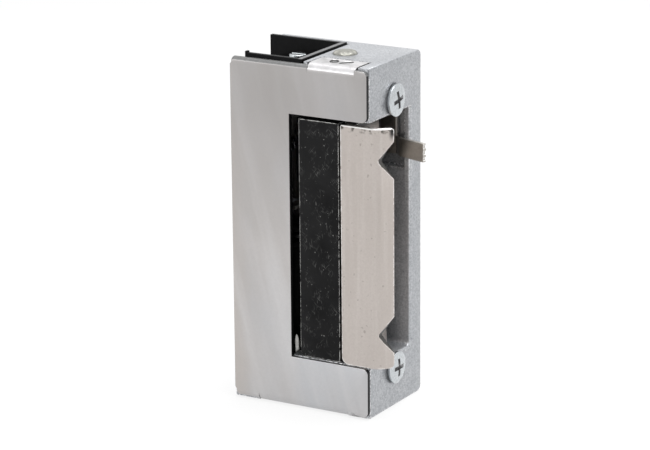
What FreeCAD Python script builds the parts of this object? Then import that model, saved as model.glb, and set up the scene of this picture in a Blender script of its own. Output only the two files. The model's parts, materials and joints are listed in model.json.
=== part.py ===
import FreeCAD, Part
import os
import re
import Sketcher

# Electric strike for a door frame. The die-cast housing stands on its lower end.
# +X points out of the front face, which takes the latch bolt. +Y points from the
# cover to the rear wall, and +Z is up. The origin is the centre of the lower end.

Vector = FreeCAD.Vector
Rotation = FreeCAD.Rotation

os.makedirs("parts", exist_ok=True)
doc = FreeCAD.newDocument("ElectricStrike")

# Driving dimensions, in millimetres and degrees
DIMENSIONS = {
    # housing
    "casedepth": 29.0,
    "casewidth": 20.4,
    "caseheight": 66.0,
    "casecorner": 1.2,
    "caseedge": 0.3,
    "sheetthick": 0.9,
    "rearwall": 4.1,
    "deepwall": 1.5,
    "endblock": 10.0,
    "pocketcorner": 1.0,
    "pinwall": 6.3,
    "bayfloor": 6.8,
    "bayrear": 2.5,
    "lipbevel": 0.4,
    # cover
    "cutoutdepth": 16.2,
    "cutoutmargin": 0.15,
    "coverreveal": 0.4,
    "covercorner": 1.1,
    "tabstart": 2.6,
    "tabwidth": 9.7,
    "tabreach": 5.7,
    "tabgap": 0.3,
    "flangestart": 4.1,
    "flangewidth": 19.3,
    "flangereach": 4.0,
    "sideflange": 3.0,
    "sidenotch": 1.9,
    "bendradius": 0.8,
    "endbend": 1.6,
    "bendrelief": 0.8,
    "reliefwidth": 0.25,
    "reliefdepth": 2.0,
    "stakeinset": 2.0,
    "stakespacing": 2.5,
    "stakeradius": 0.5,
    "stakedepth": 0.35,
    # pivot pin
    "pindepth": 10.2,
    "pinradius": 2.25,
    "pinproud": 0.45,
    "pinedge": 0.3,
    "pinsocket": 6.0,
    "runningfit": 0.05,
    # keeper and its carrier
    "keeperlift": 0.2,
    "keeperdrop": 0.6,
    "keeperheel": 5.45,
    "keeperflat": 2.0,
    "armthick": 1.4,
    "liplength": 3.32,
    "lipthick": 1.0,
    "lipangle": 46.2,
    "lipbend": 2.5,
    "lipuppercorner": 1.5,
    "liplowercorner": 1.0,
    "webthick": 2.25,
    "webrear": 2.9,
    "webfillet": 1.0,
    "heelcorner": 1.4,
    "notchinset": 6.6,
    "notchapex": 2.2,
    "notchhalf": 3.35,
    "notchroot": 0.4,
    "baroffset": 0.5,
    "barthick": 2.5,
    "barleft": 4.3,
    "barright": 4.1,
    "hubhalf": 4.1,
    "hubbevel": 1.9,
    "necklean": 1.0,
    "tailreach": 6.2,
    "tailbevel": 1.2,
    "tailrise": 1.7,
    "tailflat": 0.6,
    "tailback": 1.0,
    "tailmargin": 0.4,
    "springwindow": 7.0,
    "windowdepth": 3.6,
    # screws that hold the keeper on its carrier
    "keeperscrewradius": 1.25,
    "keeperscrewhead": 2.3,
    "keeperscrewrise": 1.2,
    "keeperscrewlength": 4.0,
    "keeperscrewspacing": 20.0,
    "keeperscrewwall": 0.5,
    # torsion spring of the keeper
    "keeperwire": 0.35,
    "keepercoil": 3.05,
    "keeperpitch": 1.15,
    "keeperturns": 5.0,
    "keeperchords": 10,
    "smallchords": 6,
    # fixing screws
    "screwledge": 2.5,
    "screwradius": 2.0,
    "screwhead": 3.05,
    "screwrim": 0.4,
    "screwdome": 0.35,
    "screwgap": 0.3,
    "screwlength": 7.0,
    "crosswidth": 0.75,
    "crossspan": 3.4,
    "crossdepth": 0.6,
    # solenoid
    "coilgap": 0.2,
    "coilmargin": 0.45,
    "flangethick": 1.0,
    "barrelradius": 2.4,
    "windinginset": 0.4,
    "coreradius": 1.75,
    "coreproud": 0.6,
    "yokethick": 1.2,
    "yokewidth": 5.2,
    "yokeinset": 1.7,
    "yokedrop": 18.8,
    "yokeproud": 1.6,
    "yokescrewinset": 2.1,
    "yokescrewgap": 0.4,
    "yokescrewradius": 1.2,
    "yokescrewhead": 1.9,
    "yokescrewrise": 1.5,
    "yokescrewlength": 4.0,
    # armature
    "armaturegap": 0.4,
    "armaturethick": 1.2,
    "armaturelead": 4.0,
    "armaturewidth": 6.8,
    "fingerwidth": 2.3,
    "fingergap": 1.0,
    "fingerlead": 1.0,
    "fingerbite": 0.35,
    "fingerlap": 5.5,
    "armaturewire": 0.2,
    "armaturecoil": 0.9,
    "armaturespringinset": 1.45,
    "armatureturns": 3.0,
    # locking lever
    "leveraway": 10.3,
    "leverdrop": 6.0,
    "levergap": 0.3,
    "leverthick": 2.5,
    "leverhub": 2.4,
    "tiplap": 1.0,
    "tiplow": 9.6,
    "tipheight": 2.4,
    "stopwidth": 1.6,
    "stopreach": 10.0,
    "stopneck": 6.0,
    "leverpinradius": 1.0,
    "leverpinclip": 1.6,
    "clipthick": 0.6,
    "leverwire": 0.25,
    "levercoil": 1.1,
    "leverspringdrop": 3.1,
    "leverturns": 5.0,
    # release slider
    "slidethick": 0.8,
    "slideinset": 0.25,
    "slidechannel": 1.5,
    "channelfront": 1.4,
    "channelback": 9.0,
    "channeldrop": 11.8,
    "channelrise": 4.5,
    "slidefront": 3.1,
    "neckwidth": 3.4,
    "slidedrop": 9.5,
    "sliderise": 3.6,
    "armdrop": 2.0,
    "armheight": 1.7,
    "slidetravel": 2.0,
    "slidegap": 0.3,
    "leginset": 1.0,
    "legwidth": 1.8,
    "footspan": 5.0,
    "footwidth": 2.0,
    "footheight": 2.0,
    "footreach": 7.05,
    "tabheight": 3.5,
    "tabstepout": 1.2,
    "tabstepback": 1.25,
    "tablength": 6.5,
    "tabangle": 18.0,
    "toothradius": 0.45,
    # terminal block
    "blockfront": 13.6,
    "blockgap": 0.3,
    "blockwall": 0.9,
    "blockendwall": 1.2,
    "nubwidth": 0.5,
    "nubrise": 0.3,
    "blockside": 0.1,
    "blockinset": 3.0,
    "blockbase": 6.5,
    "blockproud": 0.3,
    "blocktail": 1.0,
    "frontwallback": 26.0,
    "terminalback": 22.0,
    "terminalcrowd": 1.1,
    "terminalshift": 0.45,
    "cageheight": 4.0,
    "cagewidth": 4.2,
    "cagelength": 5.0,
    "cagewall": 0.7,
    "cagegap": 0.2,
    "cagelift": 1.3,
    "terminalradius": 1.3,
    "terminalhead": 1.6,
    "terminalrise": 1.5,
    "terminalslot": 0.6,
    "terminallift": 0.1,
}

sheet = doc.addObject("Spreadsheet::Sheet", "Sizes")
for row, (word, value) in enumerate(DIMENSIONS.items(), start=1):
    sheet.set(f"A{row}", word)
    sheet.set(f"B{row}", str(value))
    sheet.setAlias(f"B{row}", word)
doc.recompute()

# Places that several pieces share, worked out from the sheet's values
FRONT = "casedepth / 2"
BACK = "-casedepth / 2"
COVER_FACE = "-casewidth / 2"
COVER_INSIDE = "(-casewidth / 2 + sheetthick)"
REAR_FACE = "casewidth / 2"
REAR_WALL = "(casewidth / 2 - rearwall)"
BAY_REAR = "(casewidth / 2 - bayrear)"
POCKET_LOW = "endblock"
POCKET_TOP = "(caseheight - endblock)"
PIN_X = "(casedepth / 2 - pindepth)"
KEEPER_LOW = "(endblock + keeperlift)"
KEEPER_HEIGHT = "(caseheight - 2 * endblock - keeperlift - keeperdrop)"
WINDOW_LOW = "((caseheight - springwindow) / 2)"
KEEPER_SCREW_Y = "-(pinradius + keeperscrewwall + keeperscrewradius)"
HEEL_X = "(casedepth / 2 - keeperheel)"
SCREW_INSET = "(endblock - screwledge)"
BLOCK_RIGHT = "(casedepth / 2 - blockfront - blockgap)"
BAY_BACK = "(-casedepth / 2 + sheetthick + deepwall)"
BAY_FRONT = "(casedepth / 2 - pindepth - pinwall)"
SLIDE_FRONT_Y = "(casewidth / 2 - rearwall + slideinset)"
COIL_X = f"(({BAY_BACK} + {BAY_FRONT}) / 2)"
YOKE_REAR = f"({BAY_REAR} - slidegap)"
YOKE_SCREW_Y = f"({COVER_INSIDE} + yokeinset + yokescrewinset)"
COIL_REAR = f"({YOKE_REAR} - yokethick - coilgap)"
COIL_ROOM = f"({COIL_REAR} - {YOKE_SCREW_Y} - yokescrewhead - yokescrewgap)"
COIL_RADIUS = f"(min({BAY_FRONT} - {BAY_BACK} - 2 * coilmargin; {COIL_ROOM}) / 2)"
COIL_Y = f"({COIL_REAR} - {COIL_RADIUS})"
LEVER_X = "(casedepth / 2 - pindepth - leveraway)"
LEVER_FRONT = "(tailrise + levergap)"
LEVER_TOP = "(caseheight - endblock - leverdrop)"
YOKE_TOP = "(caseheight - endblock - leverdrop - yokedrop)"
BOBBIN_HEIGHT = f"({YOKE_TOP} - yokeproud - yokethick - bayfloor)"
ARM_LOW = "(caseheight - endblock - armdrop)"
SLIDE_LOW = "(caseheight - endblock - slidedrop)"
LEG_LEFT = f"({BAY_BACK} + leginset)"
LEG_FOOT = f"({YOKE_TOP} + armaturegap + armaturethick + slidegap + slidetravel)"
BLOCK_LOW = "(caseheight - endblock)"
BLOCK_FRONT = f"({COVER_INSIDE} + blockside)"
BLOCK_REAR = "(casewidth / 2 - blockinset)"
TERMINAL_STEP = f"(({BLOCK_REAR} - {BLOCK_FRONT}) / 2 - terminalcrowd)"
FIRST_TERMINAL = f"(({BLOCK_REAR} + {BLOCK_FRONT} - {TERMINAL_STEP}) / 2 + terminalshift)"
TERMINAL_X = "(casedepth / 2 - terminalback)"


def bound(expression):
    """Point every sheet word of an expression at the sheet."""
    return re.sub(r"\b(?!cos|sin|min)[a-z]{3,}", lambda word: "Sizes." + word.group(), expression)


def size(expression):
    """The number that an expression has now."""
    return float(sheet.evalExpression(bound(expression)))


def new_body(label):
    body = doc.addObject("PartDesign::Body", label)
    body.Label = label
    return body


def new_sketch(body, name, role, lift):
    """An empty sketch on one of the body's own origin planes, moved along its normal."""
    plane = next(item for item in body.Origin.OriginFeatures if item.Role == role)
    sketch = body.newObject("Sketcher::SketchObject", name)
    sketch.AttachmentSupport = [(plane, "")]
    sketch.MapMode = "FlatFace"
    sketch.setExpression("AttachmentOffset.Base.z", bound(lift))
    return sketch


def place_point(sketch, edge, end, across, up):
    for kind, expression in (("DistanceX", across), ("DistanceY", up)):
        index = sketch.addConstraint(
            Sketcher.Constraint(kind, -1, 1, edge, end, size(expression)))
        sketch.setExpression(f"Constraints[{index}]", bound(expression))


def polygon(sketch, corners):
    """A closed outline of straight edges with every corner bound to the sheet."""
    first = sketch.GeometryCount
    points = [Vector(size(across), size(up), 0) for across, up in corners]
    count = len(points)
    for index in range(count):
        sketch.addGeometry(Part.LineSegment(points[index], points[(index + 1) % count]), False)
    for index in range(count):
        following = first + (index + 1) % count
        sketch.addConstraint(Sketcher.Constraint("Coincident", first + index, 2, following, 1))
    for index, (across, up) in enumerate(corners):
        place_point(sketch, first + index, 1, across, up)


def rectangle(sketch, left, right, low, high):
    polygon(sketch, [(left, low), (right, low), (right, high), (left, high)])


def circle(sketch, across, up, radius):
    edge = sketch.addGeometry(
        Part.Circle(Vector(size(across), size(up), 0), Vector(0, 0, 1), size(radius)), False)
    place_point(sketch, edge, 3, across, up)
    index = sketch.addConstraint(Sketcher.Constraint("Radius", edge, size(radius)))
    sketch.setExpression(f"Constraints[{index}]", bound(radius))


def pad(body, name, sketch, length):
    feature = body.newObject("PartDesign::Pad", name)
    feature.Profile = sketch
    feature.setExpression("Length", bound(length))
    sketch.Visibility = False
    doc.recompute()
    return feature


def pocket(body, name, sketch, length):
    """A cut along the sketch's own normal, which has to take material away."""
    before = body.Shape.Volume
    feature = body.newObject("PartDesign::Pocket", name)
    feature.Profile = sketch
    feature.Reversed = True
    feature.setExpression("Length", bound(length))
    doc.recompute()
    if feature.Shape.Volume > before - 1e-6:
        raise RuntimeError(f"{body.Label}: {name} cuts nothing")
    return feature


def block(body, name, x_range, y_range, z_range):
    sketch = new_sketch(body, name + "_outline", "XY_Plane", z_range[0])
    rectangle(sketch, *x_range, *y_range)
    return pad(body, name, sketch, f"({z_range[1]}) - ({z_range[0]})")


def cut_block(body, name, x_range, y_range, z_range):
    sketch = new_sketch(body, name + "_outline", "XY_Plane", z_range[0])
    rectangle(sketch, *x_range, *y_range)
    return pocket(body, name, sketch, f"({z_range[1]}) - ({z_range[0]})")


def edges_along(shape, direction, spots):
    """Names of the straight edges along a direction that pass through any of the spots."""
    names = []
    for index, edge in enumerate(shape.Edges, start=1):
        if edge.Curve.TypeId != "Part::GeomLine":
            continue
        if abs(abs(edge.tangentAt(edge.FirstParameter).dot(direction)) - 1) > 1e-6:
            continue
        middle = edge.CenterOfMass
        for spot in spots:
            offset = middle - spot
            away = offset - direction * offset.dot(direction)
            if away.Length < 1e-3:
                names.append(f"Edge{index}")
                break
    return names


def round_edges(shape, centre, radius):
    """Names of the round edges with a centre and a radius."""
    names = []
    for index, edge in enumerate(shape.Edges, start=1):
        if edge.Curve.TypeId != "Part::GeomCircle" or abs(edge.Curve.Radius - radius) > 1e-3:
            continue
        if (edge.Curve.Center - centre).Length < 1e-3:
            names.append(f"Edge{index}")
    return names


def point(spot):
    """The point that an expression for each coordinate gives; a missing last one is zero."""
    return Vector(*(size(part) for part in spot))


def dress(body, name, kind, names, radius):
    """A fillet or chamfer on the named edges of the body."""
    if not names:
        raise RuntimeError(f"{body.Label}: {name} finds no edge")
    base = body.Tip
    feature = body.newObject("PartDesign::" + kind, name)
    feature.Base = (base, names)
    feature.setExpression("Radius" if kind == "Fillet" else "Size", bound(radius))
    doc.recompute()
    return feature


def soften(body, name, kind, direction, spots, radius):
    """A fillet or chamfer on the straight edges along a direction through the spots."""
    names = edges_along(body.Tip.Shape, direction, [point(spot) for spot in spots])
    return dress(body, name, kind, names, radius)


def soften_rim(body, name, kind, centre, rim, radius):
    """A fillet or chamfer on a round edge."""
    names = round_edges(body.Tip.Shape, point(centre), size(rim))
    return dress(body, name, kind, names, radius)


def dome(body, name, seat, height, radius, rise):
    """A spherical cap along +X, turned about an axis at the given height."""
    sketch = new_sketch(body, name + "_profile", "XZ_Plane", "0")
    sketch.setExpression("AttachmentOffset.Base.y", bound(height))
    sphere = f"((({radius}) * ({radius}) + ({rise}) * ({rise})) / (2 * ({rise})))"
    crown = f"({seat}) + ({rise})"
    low = Vector(size(seat), 0, 0)
    top = Vector(size(crown), 0, 0)
    rim = Vector(size(seat), size(radius), 0)
    ball = Part.Circle(Vector(size(crown) - size(sphere), 0, 0), Vector(0, 0, 1), size(sphere))
    arc = sketch.addGeometry(Part.ArcOfCircle(ball, 0, ball.parameter(rim)), False)
    base = sketch.addGeometry(Part.LineSegment(rim, low), False)
    axis = sketch.addGeometry(Part.LineSegment(low, top), False)
    sketch.addConstraint(Sketcher.Constraint("Coincident", arc, 2, base, 1))
    sketch.addConstraint(Sketcher.Constraint("Coincident", base, 2, axis, 1))
    sketch.addConstraint(Sketcher.Constraint("Coincident", axis, 2, arc, 1))
    place_point(sketch, base, 1, seat, radius)
    place_point(sketch, axis, 1, seat, "0")
    place_point(sketch, arc, 1, crown, "0")
    index = sketch.addConstraint(Sketcher.Constraint("Radius", arc, size(sphere)))
    sketch.setExpression(f"Constraints[{index}]", bound(sphere))
    feature = body.newObject("PartDesign::Revolution", name)
    feature.Profile = sketch
    feature.ReferenceAxis = (sketch, ["H_Axis"])
    feature.Angle = 360
    sketch.Visibility = False
    doc.recompute()
    return feature


ALONG_X = Vector(1, 0, 0)
ALONG_Y = Vector(0, 1, 0)
ALONG_Z = Vector(0, 0, 1)


def build_housing():
    """Zinc die-casting: a tray that is open to the cover, with a solid block at each end."""
    body = new_body("housing")
    block(body, "casting", (BACK, FRONT), (COVER_INSIDE, REAR_FACE), ("0", "caseheight"))
    soften(body, "rear_corners", "Fillet", ALONG_X,
           [("0", REAR_FACE, "0"), ("0", REAR_FACE, "caseheight")], "casecorner")
    soften(body, "rear_edges", "Fillet", ALONG_Z,
           [(FRONT, REAR_FACE, "0"), (BACK, REAR_FACE, "0")], "caseedge")
    cut_block(body, "latch_pocket", (BAY_BACK, f"{FRONT} + 1"), (f"{COVER_INSIDE} - 1", REAR_WALL),
              (POCKET_LOW, POCKET_TOP))
    cut_block(body, "mechanism_bay", (BAY_BACK, BAY_FRONT), (f"{COVER_INSIDE} - 1", BAY_REAR),
              ("bayfloor", POCKET_TOP))
    cut_block(body, "terminal_recess", (f"{BACK} - 1", f"{FRONT} - blockfront"),
              (f"{COVER_INSIDE} - 1", BLOCK_REAR),
              (BLOCK_LOW, "caseheight + 1"))
    cut_block(body, "side_flange_seat", (f"{BACK} - 1", f"{BACK} + sheetthick"),
              (f"{COVER_INSIDE} - 1", f"{COVER_FACE} + sideflange + tabgap"),
              ("sidenotch - tabgap", "caseheight - sidenotch + tabgap"))
    cut_block(body, "top_tab_seat",
              (f"{FRONT} - tabstart - tabwidth - tabgap", f"{FRONT} - tabstart + tabgap"),
              (f"{COVER_INSIDE} - 1", f"{COVER_FACE} + tabreach + tabgap"),
              ("caseheight - sheetthick", "caseheight + 1"))
    cut_block(body, "bottom_flange_seat",
              (f"{FRONT} - flangestart - flangewidth - tabgap", f"{FRONT} - flangestart + tabgap"),
              (f"{COVER_INSIDE} - 1", f"{COVER_FACE} + flangereach + tabgap"),
              ("-1", "sheetthick"))
    cut_block(body, "slider_recess", (f"{FRONT} - channelback", f"{FRONT} - channelfront"),
              (f"{REAR_WALL} - 1", f"{REAR_WALL} + slidechannel"),
              (f"{POCKET_TOP} - channeldrop", POCKET_TOP))
    cut_block(body, "slider_slot", (f"{FRONT} - channelback", f"{FRONT} - slidefront + slidegap"),
              (REAR_WALL, f"{REAR_WALL} + slidechannel"),
              (f"{POCKET_TOP} - 1", f"{POCKET_TOP} + channelrise"))
    cut_block(body, "arm_channel", (f"{BAY_FRONT} - 1", f"{FRONT} - channelback + 1"),
              (f"{REAR_WALL} - 1", f"{REAR_WALL} + slidechannel"),
              (f"{ARM_LOW} - slidetravel - slidegap", POCKET_TOP))

    bore = new_sketch(body, "pin_bore_outline", "XY_Plane", f"{POCKET_LOW} - pinsocket")
    circle(bore, PIN_X, "0", "pinradius")
    pocket(body, "pin_bore", bore, f"caseheight - ({POCKET_LOW} - pinsocket) + 1")

    holes = new_sketch(body, "screw_holes_outline", "YZ_Plane", f"{FRONT} - screwlength")
    circle(holes, "0", SCREW_INSET, "screwradius")
    circle(holes, "0", f"caseheight - {SCREW_INSET}", "screwradius")
    pocket(body, "screw_holes", holes, "screwlength + 1")

    hole = new_sketch(body, "yoke_screw_hole_outline", "XY_Plane", "bayfloor - yokescrewlength")
    circle(hole, COIL_X, YOKE_SCREW_Y, "yokescrewradius")
    pocket(body, "yoke_screw_hole", hole, "yokescrewlength + 1")

    boss = new_sketch(body, "lever_post_outline", "XZ_Plane", f"-{BAY_REAR}")
    circle(boss, LEVER_X, LEVER_TOP, "leverpinclip")
    pad(body, "lever_post", boss, f"{BAY_REAR} - ({LEVER_FRONT} + leverthick + slidegap)")

    soften(body, "pocket_corners", "Fillet", ALONG_X,
           [("0", REAR_WALL, POCKET_LOW)], "pocketcorner")
    soften(body, "lip_bevels", "Chamfer", ALONG_Y,
           [(FRONT, "0", POCKET_LOW)], "lipbevel")
    soften(body, "bend_reliefs", "Chamfer", ALONG_X,
           [("0", COVER_INSIDE, "sheetthick"), ("0", COVER_INSIDE, "caseheight - sheetthick")], "bendrelief")
    return body


def build_cover():
    """Zinc-plated sheet steel: a C-shaped face with a side, a top and a bottom flange."""
    body = new_body("cover")
    cut_low = f"({POCKET_LOW} - cutoutmargin)"
    cut_top = f"({POCKET_TOP} + cutoutmargin)"
    face = new_sketch(body, "face_outline", "XZ_Plane", f"-{COVER_INSIDE}")
    polygon(face, [
        (BACK, "coverreveal"),
        (FRONT, "coverreveal"),
        (FRONT, cut_low),
        (f"{FRONT} - cutoutdepth", cut_low),
        (f"{FRONT} - cutoutdepth", cut_top),
        (FRONT, cut_top),
        (FRONT, "caseheight - coverreveal"),
        (BACK, "caseheight - coverreveal"),
    ])
    pad(body, "face", face, "sheetthick")
    soften(body, "face_corners", "Fillet", ALONG_Y, [
        (BACK, "0", "coverreveal"), (FRONT, "0", "coverreveal"), (FRONT, "0", cut_low),
        (FRONT, "0", cut_top), (FRONT, "0", "caseheight - coverreveal"),
        (BACK, "0", "caseheight - coverreveal")], "covercorner")
    side = (BACK, f"{BACK} + sheetthick")
    block(body, "side_flange", side, (COVER_FACE, f"{COVER_FACE} + sideflange"),
          ("sidenotch", "caseheight - sidenotch"))
    tab = (f"{FRONT} - tabstart - tabwidth", f"{FRONT} - tabstart")
    block(body, "top_tab", tab, (COVER_FACE, f"{COVER_FACE} + tabreach"),
          ("caseheight - sheetthick", "caseheight"))
    flange = (f"{FRONT} - flangestart - flangewidth", f"{FRONT} - flangestart")
    block(body, "bottom_flange", flange, (COVER_FACE, f"{COVER_FACE} + flangereach"),
          ("0", "sheetthick"))
    for name, low, ends in (("top_relief", "caseheight - reliefdepth", tab), ("bottom_relief", "-1", flange)):
        for side, left in (("left", f"{ends[0]} - reliefwidth"), ("right", ends[1])):
            cut_block(body, f"{name}_{side}", (left, f"{left} + reliefwidth"),
                      (f"{COVER_FACE} - 1", f"{COVER_INSIDE} + 1"), (low, f"{low} + reliefdepth + 1"))
    soften(body, "side_bend", "Fillet", ALONG_Z, [(BACK, COVER_FACE, "0")], "bendradius")
    soften(body, "end_bends", "Fillet", ALONG_X,
           [("0", COVER_FACE, "0"), ("0", COVER_FACE, "caseheight")], "endbend")
    soften(body, "end_bends_inside", "Fillet", ALONG_X,
           [("0", COVER_INSIDE, "sheetthick"), ("0", COVER_INSIDE, "caseheight - sheetthick")],
           "endbend - sheetthick")
    stakes = new_sketch(body, "stake_outline", "XY_Plane", "caseheight - stakedepth")
    for side in ("-", "+"):
        circle(stakes, f"({tab[0]} + {tab[1]} {side} stakespacing) / 2",
               f"{COVER_FACE} + tabreach - stakeinset", "stakeradius")
    pocket(body, "stake_marks", stakes, "stakedepth + 1")
    return body


def build_pivot_pin():
    """Turned steel pin, riveted over at its upper end."""
    body = new_body("pivot_pin")
    shaft = new_sketch(body, "shaft_outline", "XY_Plane", f"{POCKET_LOW} - pinsocket")
    circle(shaft, PIN_X, "0", "pinradius")
    pad(body, "shaft", shaft, f"caseheight + pinproud - ({POCKET_LOW} - pinsocket)")
    soften_rim(body, "riveted_edge", "Chamfer", (PIN_X, "0", "caseheight + pinproud"), "pinradius", "pinedge")
    return body


def build_carrier():
    """Black steel carrier of the keeper: a front bar, a web and a hub that turns on the pin."""
    body = new_body("keeper_carrier")
    bar_front = f"({COVER_FACE} + baroffset)"
    bar_rear = f"({COVER_FACE} + baroffset + barthick)"
    outline = new_sketch(body, "section", "XY_Plane", KEEPER_LOW)
    polygon(outline, [
        (f"{PIN_X} - barleft", bar_front),
        (f"{PIN_X} + barright", bar_front),
        (f"{PIN_X} + barright", bar_rear),
        (HEEL_X, bar_rear),
        (HEEL_X, "hubhalf - hubbevel"),
        (f"{PIN_X} + hubhalf - hubbevel", "hubhalf"),
        (f"{PIN_X} - hubhalf + hubbevel", "hubhalf"),
        (f"{PIN_X} - hubhalf", "hubhalf - hubbevel"),
        (f"{PIN_X} - hubhalf", "-hubhalf + hubbevel"),
        (f"{PIN_X} - hubhalf + necklean", "-hubhalf + hubbevel - necklean"),
        (f"{PIN_X} - hubhalf + necklean", bar_rear),
        (f"{PIN_X} - barleft", bar_rear),
    ])
    pad(body, "bar", outline, KEEPER_HEIGHT)
    tail_low = f"({LEVER_TOP} - tiplow - tailmargin)"
    tail = new_sketch(body, "tail_outline", "XY_Plane", tail_low)
    polygon(tail, [
        (PIN_X, "-tailback"),
        (f"{PIN_X} - tailreach", "-tailback"),
        (f"{PIN_X} - tailreach", "-tailflat"),
        (f"{PIN_X} - tailreach + tailbevel", "tailrise"),
        (PIN_X, "tailrise"),
    ])
    pad(body, "tail", tail, "tipheight + 2 * tailmargin")
    bore = new_sketch(body, "bore_outline", "XY_Plane", KEEPER_LOW)
    circle(bore, PIN_X, "0", "pinradius + runningfit")
    pocket(body, "bore", bore, KEEPER_HEIGHT)
    cut_block(body, "spring_window", (f"{PIN_X} - hubhalf - 1", f"{HEEL_X} + 1"),
              ("-windowdepth", "hubhalf + 1"), (WINDOW_LOW, f"{WINDOW_LOW} + springwindow"))
    holes = new_sketch(body, "keeper_screw_holes_outline", "YZ_Plane", f"{HEEL_X} - keeperscrewlength")
    for side in ("-", "+"):
        circle(holes, KEEPER_SCREW_Y,
               f"caseheight / 2 {side} keeperscrewspacing / 2", "keeperscrewradius")
    pocket(body, "keeper_screw_holes", holes, "keeperscrewlength + 1")
    return body


def build_keeper():
    """Nickel-plated keeper: an arm with a folded lip in front of the latch, and a web behind it."""
    body = new_body("keeper")
    arm_inside = f"({COVER_FACE} + armthick)"
    web_front = f"({HEEL_X} + webthick)"
    lean_x = "cos(lipangle * 1deg)"
    lean_y = "sin(lipangle * 1deg)"
    fold_x = f"({FRONT} + keeperflat)"
    fold_inside_x = f"({fold_x} + (armthick * {lean_x} - lipthick) / {lean_y})"
    tip_x = f"({fold_x} + liplength * {lean_x})"
    tip_y = f"({COVER_FACE} + liplength * {lean_y})"
    outline = new_sketch(body, "section", "XY_Plane", KEEPER_LOW)
    polygon(outline, [
        (HEEL_X, COVER_FACE),
        (fold_x, COVER_FACE),
        (tip_x, tip_y),
        (f"{tip_x} - lipthick * {lean_y}", f"{tip_y} + lipthick * {lean_x}"),
        (fold_inside_x, arm_inside),
        (web_front, arm_inside),
        (web_front, "webrear"),
        (HEEL_X, "webrear"),
    ])
    pad(body, "arm_and_web", outline, KEEPER_HEIGHT)
    soften(body, "inner_fillet", "Fillet", ALONG_Z, [(web_front, arm_inside, "0")], "webfillet")
    soften(body, "lip_fold", "Fillet", ALONG_Z, [(fold_x, COVER_FACE, "0")], "lipbend")
    soften(body, "lip_fold_inside", "Fillet", ALONG_Z, [(fold_inside_x, arm_inside, "0")],
           "lipbend - armthick")
    across_lip = Vector(-size(lean_y), size(lean_x), 0)
    for name, height, radius in (
            ("upper_lip_corner", f"{KEEPER_LOW} + {KEEPER_HEIGHT}", "lipuppercorner"),
            ("lower_lip_corner", KEEPER_LOW, "liplowercorner")):
        soften(body, name, "Fillet", across_lip, [(tip_x, tip_y, height)], radius)
    lip_rear = f"({tip_y} + lipthick)"
    apex_x = f"({FRONT} + notchapex)"
    notches = new_sketch(body, "notch_outline", "XZ_Plane", f"-{lip_rear}")
    for middle in (f"({POCKET_LOW} + notchinset)", f"({POCKET_TOP} - notchinset)"):
        polygon(notches, [
            (apex_x, f"{middle} + notchroot / 2"),
            (apex_x, f"{middle} - notchroot / 2"),
            (f"2 * {tip_x} - {apex_x}", f"{middle} - 2 * notchhalf"),
            (f"2 * {tip_x} - {apex_x}", f"{middle} + 2 * notchhalf"),
        ])
    pocket(body, "notches", notches, f"{lip_rear} - {COVER_FACE} + 1")
    soften(body, "heel_corners", "Fillet", ALONG_Y, [
        (HEEL_X, "0", KEEPER_LOW), (HEEL_X, "0", f"{KEEPER_LOW} + {KEEPER_HEIGHT}")], "heelcorner")
    holes = new_sketch(body, "screw_holes_outline", "YZ_Plane", HEEL_X)
    for side in ("-", "+"):
        circle(holes, KEEPER_SCREW_Y,
               f"caseheight / 2 {side} keeperscrewspacing / 2", "keeperscrewradius")
    pocket(body, "screw_holes", holes, "webthick")
    seats = new_sketch(body, "head_seats_outline", "YZ_Plane", f"{web_front} - keeperscrewrise")
    for side in ("-", "+"):
        circle(seats, KEEPER_SCREW_Y,
               f"caseheight / 2 {side} keeperscrewspacing / 2", "keeperscrewhead + runningfit")
    pocket(body, "head_seats", seats, "keeperscrewrise + webfillet")
    return body


def first_screw(label, role, centre, radius, length, head, rise, seat):
    """The first of two like screws: a shank below the seat and a head above it."""
    body = new_body(label)
    body.AllowCompound = True
    shank = new_sketch(body, "shank_outline", role, f"{seat} - ({length})")
    circle(shank, *centre, radius)
    pad(body, "shank", shank, length)
    crown = new_sketch(body, "head_outline", role, seat)
    circle(crown, *centre, head)
    pad(body, "head", crown, rise)
    return body


def repeat(body, name, axis_role, spacing):
    """A second copy of the body's features, one spacing further along an axis."""
    kinds = ("PartDesign::Pad", "PartDesign::Pocket", "PartDesign::Revolution")
    features = [item for item in body.Group if item.TypeId in kinds]
    pattern = body.newObject("PartDesign::LinearPattern", name)
    pattern.Originals = features
    axis = next(item for item in body.Origin.OriginFeatures if item.Role == axis_role)
    pattern.Direction = (axis, [""])
    pattern.Mode = "Spacing"
    pattern.Occurrences = 2
    pattern.setExpression("Offset", bound(spacing))
    body.Tip = pattern
    doc.recompute()
    return pattern


def build_keeper_screws():
    body = first_screw("keeper_screws", "YZ_Plane",
                      (KEEPER_SCREW_Y, "caseheight / 2 - keeperscrewspacing / 2"),
                      "keeperscrewradius", "keeperscrewlength + webthick - keeperscrewrise",
                      "keeperscrewhead", "keeperscrewrise", f"({HEEL_X} + webthick - keeperscrewrise)")
    repeat(body, "both_screws", "Z_Axis", "keeperscrewspacing")
    return body


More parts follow.
